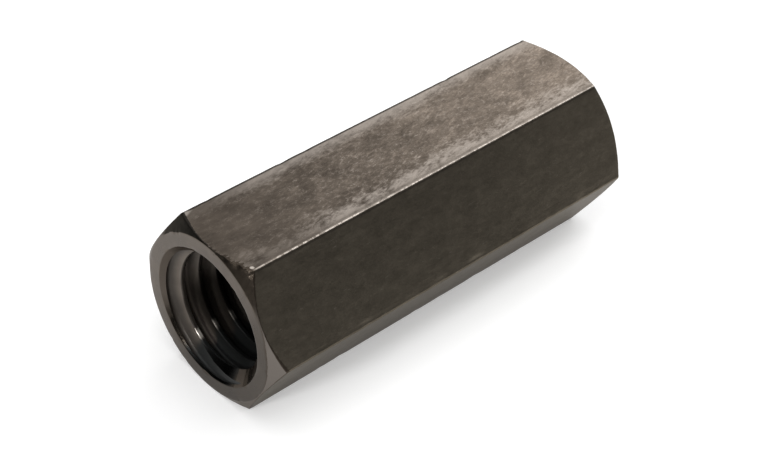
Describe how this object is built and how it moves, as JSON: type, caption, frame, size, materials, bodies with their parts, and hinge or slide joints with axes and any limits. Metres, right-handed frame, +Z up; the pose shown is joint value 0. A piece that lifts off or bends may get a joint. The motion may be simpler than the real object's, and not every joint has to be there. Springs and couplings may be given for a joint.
{
  "type": "coupling nut",
  "caption": "Long hexagonal coupling nut in bare steel, chamfered at both ends and threaded right through to join rods end to end.",
  "frame": {"origin": "middle of the nut on the thread's axis", "axes": "+X along the bore, +Z up and square to the flat that faces up; the nut lies on the opposite flat"},
  "size_m": [0.04, 0.0172, 0.015],
  "materials": {
    "steel": "bare drawn steel, dull and mottled on the flats, brighter where the ends were turned"
  },
  "bodies": {
    "root": {"coupling_nut": "steel"}
  },
  "joints": []
}
